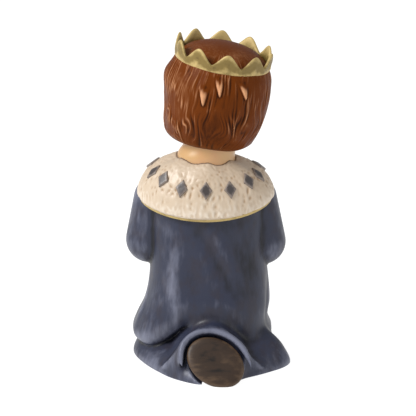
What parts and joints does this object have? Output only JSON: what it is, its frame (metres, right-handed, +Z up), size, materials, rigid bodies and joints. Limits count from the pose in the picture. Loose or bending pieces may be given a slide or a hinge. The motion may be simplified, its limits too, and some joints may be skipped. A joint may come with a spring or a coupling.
{
  "type": "nativity wise man figurine",
  "caption": "Kneeling, praying child-like king with crown, bobbed hair, fur collar and long blue robe, cast in porcelain; rests on its flat underside.",
  "frame": {"origin": "on the flat underside, below the middle of the neck and shoulders", "axes": "+Z up through the crown, -Y the way the figure faces, +X towards the figure's left"},
  "size_m": [0.0618, 0.0686, 0.1233],
  "materials": {
    "robe_blue": "satin",
    "fur_cream": "satin",
    "diamond_grey": "satin",
    "crown_gold": "gloss",
    "hair_brown": "satin",
    "skin": "satin",
    "shoe_brown": "satin"
  },
  "bodies": {
    "root": {"figurine": "robe_blue"}
  },
  "joints": []
}
